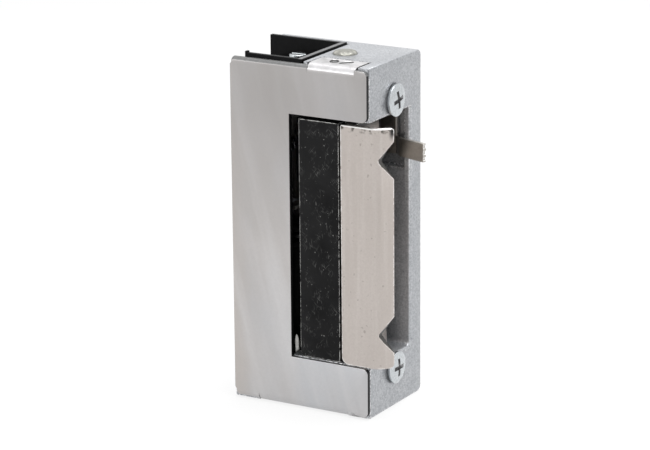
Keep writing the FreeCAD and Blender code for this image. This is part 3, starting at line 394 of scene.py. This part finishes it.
wound_spring("keeper_spring", axis=2, wire=0.35 * MILLIMETRE, turns=5)
wound_spring("lever_spring", axis=0, wire=0.25 * MILLIMETRE, turns=5, joint="lever_pivot")
wound_spring("armature_spring", axis=2, wire=0.2 * MILLIMETRE, turns=3,
             joint="armature_pivot")

# Release slider
# A dull stamping in the rear wall, with bright sheared edges, partly bare metal and partly painted
# highlight. Its thumb tab stands out of the latch pocket and ends in three scallops.


def stamped_steel():
    finish = Finish("stamped_steel", 1.0, 0.38)
    clouds = finish.noise(260, 3)
    grain = finish.noise(2600, 2)
    base = finish.mixed(finish.spread(clouds, 0.3, 0.7), (0.47, 0.445, 0.405), (0.56, 0.535, 0.495))
    grained = finish.mixed(finish.spread(grain, 0.3, 0.7, 0.0, 0.3), base, (0.33, 0.31, 0.29))
    # Near-white edges: partly bright sheared metal, partly painted highlight.
    sheared = finish.spread(finish.edges(0.16), 0.004, 0.03)
    finish.drive(finish.mixed(sheared, grained, (0.95, 0.94, 0.92)), "Base Color")
    finish.bump(grain, 0.1, 0.02)
    return finish.material


worked_copy("release_slider", [stamped_steel()], 0.1, segments=3)

# Pivot pin
# A turned steel pin whose head is riveted over on the top face: slightly crowned, with three dents
# of the staking tool at its rim.
NEAR = 0.01 * MILLIMETRE
HEAD_RINGS = 5
HEAD_CROWN = 0.12
DENT_DEPTH = 0.28
DENT_RADIUS = 0.75
DENT_PLACES = ((-1.0, -1.6), (1.15, -1.75), (1.9, 0.3))


def riveted_head(work):
    """The pin's top face is inset into rings, which are raised to a crown and dented at the rim."""
    top = max(work.faces, key=lambda face: face.calc_center_median().z)
    centre = top.calc_center_median()
    radius = (top.verts[0].co - centre).length
    ring = [top]
    ring_width = radius / (HEAD_RINGS + 1)
    for _ in range(HEAD_RINGS):
        bmesh.ops.inset_region(work, faces=ring, thickness=ring_width, use_even_offset=True)
    for vertex in work.verts:
        if vertex.co.z < centre.z - NEAR:
            continue
        away = (vertex.co - centre).length / radius
        lift = HEAD_CROWN * (1 - away ** 2)
        for across, along in DENT_PLACES:
            dent = centre + Vector((across, along, 0)) * MILLIMETRE
            from_dent = (vertex.co.xy - dent.xy).length / (DENT_RADIUS * MILLIMETRE)
            lift -= DENT_DEPTH * max(0.0, 1 - from_dent ** 2)
        vertex.co.z += lift * MILLIMETRE


def riveted_steel():
    finish = Finish("riveted_steel", 0.8, 0.52)
    grain = finish.noise(1800, 3)
    base = finish.mixed(finish.spread(grain, 0.3, 0.7), (0.22, 0.218, 0.198), (0.33, 0.327, 0.30))
    finish.drive(base, "Base Color")
    finish.bump(grain, 0.2, 0.03)
    return finish.material


worked_copy("pivot_pin", [riveted_steel()], 0.12, shape=riveted_head, clamp=True)

# Keeper carrier
# A blackened steel section that turns on the pin: scratched and speckled on its face, and worn to
# bright metal along its edges.


def black_oxide():
    finish = Finish("black_oxide", 0.0, 0.42, 0.12)
    clouds = finish.noise(250, 4)
    worn = finish.ragged(finish.edges(0.28), 1500, 0.004, 0.03, 0.47)
    patches = finish.spread(finish.noise(420, 2), 0.48, 0.62)
    scratches = None
    for lean, grain, share in ((0.1, 7000, 0.15), (-0.6, 8000, 0.09), (0.9, 8000, 0.09)):
        place = finish.stretched((1, 1, 0.10), lean)
        strokes = finish.spread(finish.noise(grain, 0, place), 0.70, 0.78, 0.0, share)
        scratches = strokes if scratches is None else finish.combined("MAXIMUM", scratches, strokes)
    scratches = finish.combined("MULTIPLY", scratches, patches)
    specks = finish.spread(finish.noise(2600, 1), 0.74, 0.78, 0.0, 0.3)
    bright = finish.combined("MAXIMUM", worn, finish.combined("MAXIMUM", scratches, specks))
    dark = finish.mixed(finish.spread(clouds, 0.3, 0.7), (0.003, 0.003, 0.0034), (0.009, 0.009, 0.0094))
    finish.drive(finish.mixed(bright, dark, (0.62, 0.62, 0.60)), "Base Color")
    finish.drive(bright, "Metallic")
    finish.drive(finish.spread(clouds, 0.3, 0.7, 0.36, 0.48), "Roughness")
    finish.bump(finish.combined("SUBTRACT", clouds, scratches), 0.12, 0.02)
    return finish.material


BAR_FACE = -8
BAR_CORNER = 0.9


def filed_corner(work):
    """The lower outer corner of the bar is rounded off."""
    left = min(vertex.co.x for vertex in work.verts if vertex.co.y < BAR_FACE * MILLIMETRE)
    low = min(vertex.co.z for vertex in work.verts)
    place = Vector((left, low))
    corner = [edge for edge in work.edges
              if all((vertex.co.xz - place).length < NEAR for vertex in edge.verts)]
    bmesh.ops.bevel(work, geom=corner, offset=BAR_CORNER * MILLIMETRE, segments=4, profile=0.5,
                    affect="EDGES", material=-1)


worked_copy("keeper_carrier", [black_oxide()], 0.08, shape=filed_corner)

# Keeper
# Nickel-plated steel with a warm satin skin: the arm that stops the latch, its folded lip and the
# two notches, with a painted highlight on its top edge and painted shade on the notch walls and the top of
# the web. Two screws hold it on the carrier.
HEEL_FILLET = 1.4
HEEL_CORNER = 0.4
LIP_FILLET = 1.5
LIP_CORNER = 0.6
LIP_TIP = Vector((18.8, -7.8))
LIP_ANGLE = math.radians(46.2)
LIP_END = 0.05
CORNER_REACH = 0.9
NOTCHES = ((13.15, 20.05), (45.95, 52.85))
NOTCH_SHIFT = 1.0
NOTCH_WALL = (0.5, 1.3)
NOTCH_APEX = 16.7
APEX_WIDTH = 0.2
TOP_ROUNDING = 0.25
TOP_FACING = Vector((0.5, -0.866, 0))
keeper_low, keeper_high = (Vector(corner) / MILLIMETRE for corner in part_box("keeper"))


def at_a_top_corner(joint):
    """Whether an edge lies in a rounded upper corner, which is too small for a bevel."""
    middle = (joint.verts[0].co + joint.verts[1].co) / 2 / MILLIMETRE
    across = min(middle.x - keeper_low.x, LIP_TIP.x - middle.x)
    return max(keeper_high.z - middle.z, across) < CORNER_REACH


def sharpened_outline(work):
    """The upper corners are drawn in until nearly sharp, and the notch walls squared to the lip."""
    along_lip = Vector((math.cos(LIP_ANGLE), math.sin(LIP_ANGLE)))
    slack = NEAR / MILLIMETRE
    for vertex in work.verts:
        point = vertex.co / MILLIMETRE
        below = keeper_high.z - point.z
        from_heel = point.x - keeper_low.x
        from_tip = -(point.xy - LIP_TIP).dot(along_lip)
        if max(from_heel, below) < HEEL_FILLET + slack:
            keep = HEEL_CORNER / HEEL_FILLET
            vertex.co.x = (keeper_low.x + keep * from_heel) * MILLIMETRE
            vertex.co.z = (keeper_high.z - keep * below) * MILLIMETRE
        elif max(from_tip, below) < LIP_FILLET + slack:
            keep = LIP_CORNER / LIP_FILLET
            forward = along_lip * from_tip * (1 - keep)
            vertex.co.x += forward.x * MILLIMETRE
            vertex.co.y += forward.y * MILLIMETRE
            vertex.co.z = (keeper_high.z - keep * below) * MILLIMETRE
        elif from_tip < LIP_END:
            for end in NOTCHES[0] + NOTCHES[1]:
                if NOTCH_WALL[0] < abs(point.z - end) < NOTCH_WALL[1]:
                    vertex.co.z += math.copysign(NOTCH_SHIFT, end - point.z) * MILLIMETRE


def rounded_top(work):
    """The top edge is rounded where it faces out of the cover, and the rounding gets a painted highlight.
    """
    top = keeper_high.z * MILLIMETRE - NEAR
    front_edge = [edge for edge in work.edges
                  if all(vertex.co.z > top for vertex in edge.verts)
                  and any(face.normal.dot(TOP_FACING) > 0.6 for face in edge.link_faces)]
    rounded = bmesh.ops.bevel(
        work, geom=front_edge, offset=TOP_ROUNDING * MILLIMETRE, segments=4, profile=0.5,
        affect="EDGES", material=-1)
    for face in rounded["faces"]:
        face.material_index = 1
    for edge in work.edges:
        if len({face in rounded["faces"] for face in edge.link_faces}) == 2:
            edge.smooth = False


def dressed_keeper(work):
    """The keeper's upper corners, notches and top edge, with painted shade on the walls in the notches."""
    sharpened_outline(work)
    rounded_top(work)
    for face in work.faces:
        middle = face.calc_center_median() / MILLIMETRE
        from_apex = middle.x - NOTCH_APEX
        in_notch = from_apex > -APEX_WIDTH / 2 and any(low < middle.z < high for low, high in NOTCHES)
        at_apex = face.normal.x > 0.8 and from_apex < APEX_WIDTH
        if in_notch and (abs(face.normal.z) > 0.4 or at_apex):
            face.material_index = 2


SPOTTED_Z = (0.0539, 0.0550)
SHADED_WEB_Y = (-0.0086, -0.0082)
SHADED_WEB_Z = (0.0530, 0.0543)


def satin_nickel():
    finish = Finish("satin_nickel", 0.9, 0.4)
    clouds = finish.noise(120, 3, finish.stretched((1, 1, 0.5)))
    grain = finish.noise(3000, 2)
    dots = finish.spread(finish.noise(1400, 1), 0.25, 0.29, 0.5, 0.0)
    base = finish.mixed(finish.spread(clouds, 0.3, 0.7), (0.485, 0.44, 0.41), (0.53, 0.485, 0.455))
    brushed = finish.noise(1500, 2, finish.stretched((1, 1, 0.04)))
    lined = finish.mixed(finish.spread(brushed, 0.5, 0.75, 0.0, 0.5), base, (0.58, 0.54, 0.51))
    grained = finish.mixed(finish.spread(grain, 0.35, 0.65, 0.0, 0.25), lined, (0.40, 0.36, 0.335))
    dotted = finish.mixed(dots, grained, (0.25, 0.22, 0.20))
    under_edge = finish.spread(finish.along("Z"), *SPOTTED_Z)
    spotted = finish.mixed(finish.ragged(under_edge, 1100, 0.2, 0.8, 0.53), dotted, (0.10, 0.09, 0.08))
    # The top of the web behind the arm is darkened nearly to black: painted shade.
    on_web = finish.spread(finish.along("Y"), *SHADED_WEB_Y)
    near_top = finish.spread(finish.along("Z"), *SHADED_WEB_Z, 0.0, 0.95)
    painted_web_shade = finish.combined("MULTIPLY", on_web, near_top)
    web_shaded = finish.mixed(painted_web_shade, spotted, (0.03, 0.03, 0.03))
    # Near-white edges: partly rubbed wear, partly painted highlight.
    worn = finish.ragged(finish.edges(0.3), 1300, 0.002, 0.015, 0.5)
    finish.drive(finish.mixed(worn, web_shaded, (0.92, 0.90, 0.88)), "Base Color")
    finish.bump(grain, 0.1, 0.02)
    return finish.material


# Near-white nickel on the rounded top edge: a painted highlight.
highlit_nickel = plain_metal("highlit_nickel", (0.86, 0.85, 0.83), 0.3, grain=1400)
# Near-black nickel on the notch walls: painted shade.
shaded_notch_nickel = plain_metal("shaded_notch_nickel", (0.09, 0.085, 0.08), 0.4, grain=1400)
worked_copy("keeper", [satin_nickel(), highlit_nickel, shaded_notch_nickel], 0.12, segments=3,
            shape=dressed_keeper, keep_sharp=at_a_top_corner)
worked_copy("keeper_screws", [bright_zinc], 0.12, clamp=True)

# Terminal block
# A black moulding with a thin wall on three sides of its two screws, whose plated cages clamp the
# wires that come in from the side.
WALL_LEFT = -0.6
WALL_RIM = 0.2
GUARD_DROP = 0.3
block_top = Vector(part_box("terminal_block")[1]).z


def tops_the_guard(face):
    """Whether a face is the guard's top, which lies a little under the nub on its front wall."""
    drop = (block_top - face.calc_center_median().z) / MILLIMETRE
    return face.normal.z > 0.9 and abs(drop - GUARD_DROP) < GUARD_DROP / 2


def lit_end_wall(work):
    """The top of the end wall gets a painted highlight: grey inside a black rim."""
    side = WALL_LEFT * MILLIMETRE
    guard = [face for face in work.faces if tops_the_guard(face)]
    around = list({edge for face in guard for edge in face.edges})
    corners = list({vertex for face in guard for vertex in face.verts})
    bmesh.ops.bisect_plane(work, geom=guard + around + corners, plane_co=(side, 0, 0), plane_no=(1, 0, 0),
                           dist=NEAR / 10)
    end_wall = [face for face in work.faces
                if tops_the_guard(face) and face.calc_center_median().x > side]
    bmesh.ops.inset_region(work, faces=end_wall, thickness=WALL_RIM * MILLIMETRE, use_even_offset=True)
    for face in end_wall:
        face.material_index = 1


black_moulding = smooth_plastic(
    "black_moulding", (0.002, 0.002, 0.0024), (0.0045, 0.0045, 0.005), 0.34, 0.08, 1200)
# Grey moulding for the lit top of the end wall: a painted highlight.
lit_top_moulding = smooth_plastic(
    "lit_top_moulding", (0.09, 0.09, 0.095), (0.15, 0.15, 0.155), 0.4, 0.3, 900)
worked_copy("terminal_block", [black_moulding, lit_top_moulding], 0.1, segments=3,
            shape=lit_end_wall, clamp=True)
worked_copy("terminal_cages", [bright_zinc], 0.08, clamp=True)
worked_copy("terminal_screws", [bright_zinc], 0.22, segments=3, clamp=True)

# Cover
# Zinc-plated sheet steel, blanked and folded round the case: satin and cloudy on its face, with
# painted shade on its front sheared edge, its other top fold, its stakes and towards its top, and a
# painted highlight on its tab and cut-out foot. Its top tab is staked down into the casting.
SHEET_THICK = 0.9 * MILLIMETRE
TANNED_X = (-0.0145, -0.010)
SHADED_TOP_Z = (0.030, 0.056)


def plated_sheet():
    finish = Finish("plated_sheet", 0.95, 0.36)
    clouds = finish.noise(60, 4, finish.stretched((1, 1, 0.35), 0.4))
    tint = finish.noise(60, 3, finish.stretched((1, 1, 0.35)))
    streaks = finish.noise(300, 3, finish.stretched((1, 1, 0.10), 0.25))
    grain = finish.noise(2400, 2)
    warm = finish.mixed(finish.spread(clouds, 0.32, 0.68), (0.435, 0.412, 0.395), (0.525, 0.507, 0.503))
    cool = finish.mixed(finish.spread(tint, 0.40, 0.65, 0.0, 0.8), warm, (0.485, 0.495, 0.515))
    rear_edge = finish.spread(finish.along("X"), *TANNED_X, 0.7, 0.0)
    tanned = finish.mixed(rear_edge, cool, (0.485, 0.445, 0.415))
    streaked = finish.mixed(finish.spread(streaks, 0.45, 0.75, 0.0, 0.5), tanned, (0.60, 0.59, 0.59))
    grained = finish.mixed(finish.spread(grain, 0.3, 0.7, 0.0, 0.12), streaked, (0.36, 0.35, 0.35))
    # The face darkens towards its top: painted shade.
    painted_top_shade = finish.spread(finish.along("Z"), *SHADED_TOP_Z, 0.0, 0.45)
    finish.drive(finish.mixed(painted_top_shade, grained, (0.33, 0.32, 0.32)), "Base Color")
    finish.drive(finish.spread(clouds, 0.3, 0.7, 0.32, 0.42), "Roughness")
    finish.bump(grain, 0.04, 0.02)
    return finish.material


STEP_HEIGHT = 1.9
STEP_RAMP = 0.35
STEP_IN = 0.35
CORNER_WIDTH = 1.1
RELIEF_DEPTH = 2.0
RELIEF_WIDTH = 0.25
RELIEF_CLOSED = 0.24
RELIEF_REACH = 0.5
RELIEF_SLACK = 0.05
FLANGE_SIDES = (-8.9, 10.4)
TAB_SIDES = (2.2, 11.9)
TAB_DEPTH = 2.0
STAKE_LEANS = {5.8: 0.5, 8.3: -0.6}
STAKE_SIDE = -6.5
STAKE_SPAN = (1.7, 2.9)
STAKE_REACH = 0.6
CUT_OUT_FOOT = 9.85
cover_low, cover_high = (Vector(corner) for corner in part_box("cover"))
sheet_inside = cover_low.y + SHEET_THICK + NEAR
cover_ends = ((cover_low.z, 1), (cover_high.z, -1))


def beside_a_cut(joint):
    """Whether an edge lies beside a relief cut, which is too narrow for a bevel."""
    middle = (joint.verts[0].co + joint.verts[1].co) / 2
    from_end = min(middle.z - cover_low.z, cover_high.z - middle.z) / MILLIMETRE
    if from_end > RELIEF_DEPTH + 2 * RELIEF_SLACK:
        return False
    return any(abs(middle.x / MILLIMETRE - side) < RELIEF_REACH for side in FLANGE_SIDES + TAB_SIDES)


def near_a_stake(place):
    """Whether a place in millimetres lies at one of the two stake marks of the tab."""
    return any((place.xy - Vector((across, STAKE_SIDE))).length < STAKE_REACH for across in STAKE_LEANS)


def cover_finishes(work):
    """Painted shade on the front edges, a painted highlight on the tab and cut-out foot, and painted shade
    on the other fold and in the stakes.
    """
    for face in work.faces:
        middle = face.calc_center_median() / MILLIMETRE
        near_top = middle.z > cover_high.z / MILLIMETRE - TAB_DEPTH
        on_tab = TAB_SIDES[0] < middle.x < TAB_SIDES[1] and near_top
        if max(vertex.co.y for vertex in face.verts) < sheet_inside and face.normal.x > 0.5:
            face.material_index = 1
        if face.normal.z > 0.3 and near_top:
            face.material_index = 2 if on_tab else 3
        if face.normal.z > 0.9 and abs(middle.z - CUT_OUT_FOOT) < 0.1:
            face.material_index = 2
        if near_a_stake(middle) and on_tab:
            face.material_index = 3


def closed_reliefs(work):
    """The relief cuts beside the folds are narrowed to hairlines."""
    for (end, up), sides in zip(cover_ends, (FLANGE_SIDES, TAB_SIDES)):
        for side, toward in zip(sides, (1, -1)):
            flat_side = (side - toward * RELIEF_WIDTH) * MILLIMETRE
            for vertex in work.verts:
                in_cut = up * (vertex.co.z - end) < (RELIEF_DEPTH + RELIEF_SLACK) * MILLIMETRE
                if in_cut and vertex.co.y < sheet_inside and abs(vertex.co.x - flat_side) < NEAR:
                    vertex.co.x += toward * RELIEF_CLOSED * MILLIMETRE


def stake_marks(work):
    """The two round stakes of the tab are drawn out and turned into slanting marks."""
    for across, lean in STAKE_LEANS.items():
        centre = Vector((across, STAKE_SIDE, 0)) * MILLIMETRE
        mark = [vertex for vertex in work.verts
                if (vertex.co.xy - centre.xy).length < STAKE_REACH * MILLIMETRE
                and vertex.co.z > cover_high.z - MILLIMETRE]
        bmesh.ops.scale(work, vec=(*STAKE_SPAN, 1), space=Matrix.Translation(-centre), verts=mark)
        bmesh.ops.rotate(work, cent=centre, matrix=Matrix.Rotation(lean, 3, "Z"), verts=mark)


def stepped_corners(work):
    """Each rear corner of the sheet steps in a little near its end."""
    for end, up in cover_ends:
        for height in (STEP_HEIGHT, STEP_HEIGHT - STEP_RAMP):
            cut = end + up * height * MILLIMETRE
            bmesh.ops.bisect_plane(work, geom=work.verts[:] + work.edges[:] + work.faces[:],
                                   plane_co=(0, 0, cut), plane_no=(0, 0, 1), dist=NEAR / 10)
        step_top = (STEP_HEIGHT - STEP_RAMP) * MILLIMETRE + NEAR
        for vertex in work.verts:
            across = (vertex.co.x - cover_low.x) / MILLIMETRE
            in_step = up * (vertex.co.z - end) < step_top and across < CORNER_WIDTH
            if in_step and vertex.co.y < sheet_inside:
                vertex.co.x += STEP_IN * (1 - across / CORNER_WIDTH) * MILLIMETRE


def blanked_sheet(work):
    """The cover's finishes are set first, on the faces as they are before they are cut and moved."""
    cover_finishes(work)
    closed_reliefs(work)
    stake_marks(work)
    stepped_corners(work)


# Near-black steel on the front sheared edge: painted shade.
shaded_edge_steel = plain_metal("shaded_edge_steel", (0.035, 0.035, 0.036), 0.55, grain=1500)
# Bright zinc on the tab's bend and the cut-out foot: a painted highlight.
highlit_zinc = plain_metal("highlit_zinc", (0.78, 0.77, 0.78), 0.3, grain=900)
# Dark zinc on the top fold beside the tab and in the stake dents: painted shade.
shaded_top_zinc = plain_metal("shaded_top_zinc", (0.24, 0.24, 0.24), 0.45, grain=1500)
worked_copy("cover", [plated_sheet(), shaded_edge_steel, highlit_zinc, shaded_top_zinc], 0.11,
            shape=blanked_sheet, keep_sharp=beside_a_cut)

# Fixing screws
# Bright zinc-plated pan heads, each with a cross recess that narrows towards its floor. The upper
# one was left a little further round than the lower one.
UPPER_SCREW_TURN = math.radians(12)
RECESS_NARROWING = 0.8
RECESS_REACH = 0.7
RECESS_MIDDLE = 0.3


def dressed_screws(work):
    """Each head's recess is narrowed towards a shaded floor, and the upper head is turned."""
    low, high = (Vector(corner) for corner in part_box("fixing_screws"))
    head_radius = (high.y - low.y) / 2
    for height, turn in ((high.z - head_radius, UPPER_SCREW_TURN), (low.z + head_radius, 0)):
        screw = {vertex for vertex in work.verts if abs(vertex.co.z - height) < 1.1 * head_radius}
        centre = Vector((0, (low.y + high.y) / 2, height))
        floor = min(
            face.calc_center_median().x for face in work.faces
            if face.normal.x > 0.99
            and (face.calc_center_median() - centre).yz.length < RECESS_MIDDLE * MILLIMETRE)
        recess_floor = {vertex for vertex in screw
                        if abs(vertex.co.x - floor) < NEAR
                        and (vertex.co - centre).yz.length < RECESS_REACH * head_radius}
        for face in work.faces:
            if any(vertex in recess_floor for vertex in face.verts):
                face.material_index = 1
        for vertex in recess_floor:
            vertex.co.y = centre.y + (vertex.co.y - centre.y) * RECESS_NARROWING
            vertex.co.z = centre.z + (vertex.co.z - centre.z) * RECESS_NARROWING
        bmesh.ops.rotate(work, cent=centre, matrix=Matrix.Rotation(turn, 3, "X"), verts=list(screw))


shaded_zinc = plain_metal("shaded_zinc", (0.27, 0.27, 0.275), 0.25)
worked_copy("fixing_screws", [bright_zinc, shaded_zinc], 0.07, shape=dressed_screws, clamp=True)

# Floor and light
# A white table and a white tent, with a large soft lamp above and smaller ones at the left and
# right. The table and the tent show white, and the table keeps the strike's shadow.
WHITE = (1, 1, 1, 1)
TENT_LIGHT = 0.6
world = bpy.data.worlds.new("white_tent")
bpy.context.scene.world = world
world.use_nodes = True
tent = world.node_tree


def white_rays(tree):
    """1 for the rays that see the background straight, in metal or through glass, and 0 for its light."""
    seen = tree.nodes.new("ShaderNodeLightPath")
    largest = seen.outputs["Is Camera Ray"]
    for ray in ("Is Glossy Ray", "Is Transmission Ray"):
        larger = tree.nodes.new("ShaderNodeMath")
        larger.operation = "MAXIMUM"
        tree.links.new(largest, larger.inputs[0])
        tree.links.new(seen.outputs[ray], larger.inputs[1])
        largest = larger.outputs["Value"]
    return largest


strength = tent.nodes.new("ShaderNodeMapRange")
strength.inputs["To Min"].default_value = TENT_LIGHT
strength.inputs["To Max"].default_value = 1.0
tent.links.new(white_rays(tent), strength.inputs["Value"])
background = tent.nodes["Background"]
background.inputs["Color"].default_value = WHITE
tent.links.new(strength.outputs["Result"], background.inputs["Strength"])

FLOOR_HALF = 3.0
FLOOR_DROP = 0.02 * MILLIMETRE
PAPER_GLOW = 0.8
floor_mesh = bpy.data.meshes.new("floor")
table = bmesh.new()
bmesh.ops.create_grid(table, x_segments=1, y_segments=1, size=FLOOR_HALF)
table.to_mesh(floor_mesh)
table.free()
floor = bpy.data.objects.new("floor", floor_mesh)
floor.location.z = -FLOOR_DROP
bpy.context.scene.collection.objects.link(floor)
paper = bpy.data.materials.new("paper")
paper.use_nodes = True
paper_nodes = paper.node_tree.nodes
paper_links = paper.node_tree.links
paper_nodes.clear()
diffuse = paper_nodes.new("ShaderNodeBsdfDiffuse")
diffuse.inputs["Color"].default_value = (0.9, 0.9, 0.9, 1)
glow = paper_nodes.new("ShaderNodeEmission")
share = paper_nodes.new("ShaderNodeMath")
share.operation = "MULTIPLY"
share.inputs[1].default_value = PAPER_GLOW
paper_links.new(white_rays(paper.node_tree), share.inputs[0])
mix = paper_nodes.new("ShaderNodeMixShader")
paper_links.new(share.outputs["Value"], mix.inputs["Fac"])
paper_links.new(diffuse.outputs["BSDF"], mix.inputs[1])
paper_links.new(glow.outputs["Emission"], mix.inputs[2])
output = paper_nodes.new("ShaderNodeOutputMaterial")
paper_links.new(mix.outputs["Shader"], output.inputs["Surface"])
floor_mesh.materials.append(paper)


LAMP_AIM = Vector((0, 0, 0.033))


def lamp(name, place, width, power):
    light = bpy.data.lights.new(name, "AREA")
    light.size = width
    light.energy = power
    holder = bpy.data.objects.new(name, light)
    holder.location = place
    holder.rotation_mode = "QUATERNION"
    holder.rotation_quaternion = (LAMP_AIM - Vector(place)).to_track_quat("-Z", "Y")
    bpy.context.scene.collection.objects.link(holder)


lamp("top_lamp", (0.05, 0.05, 0.55), width=0.35, power=3.2)
lamp("left_lamp", (-0.45, -0.45, 0.25), width=0.3, power=0.55)
lamp("right_lamp", (0.5, -0.1, 0.2), width=0.3, power=0.2)

bpy.context.scene.view_settings.view_transform = "Standard"
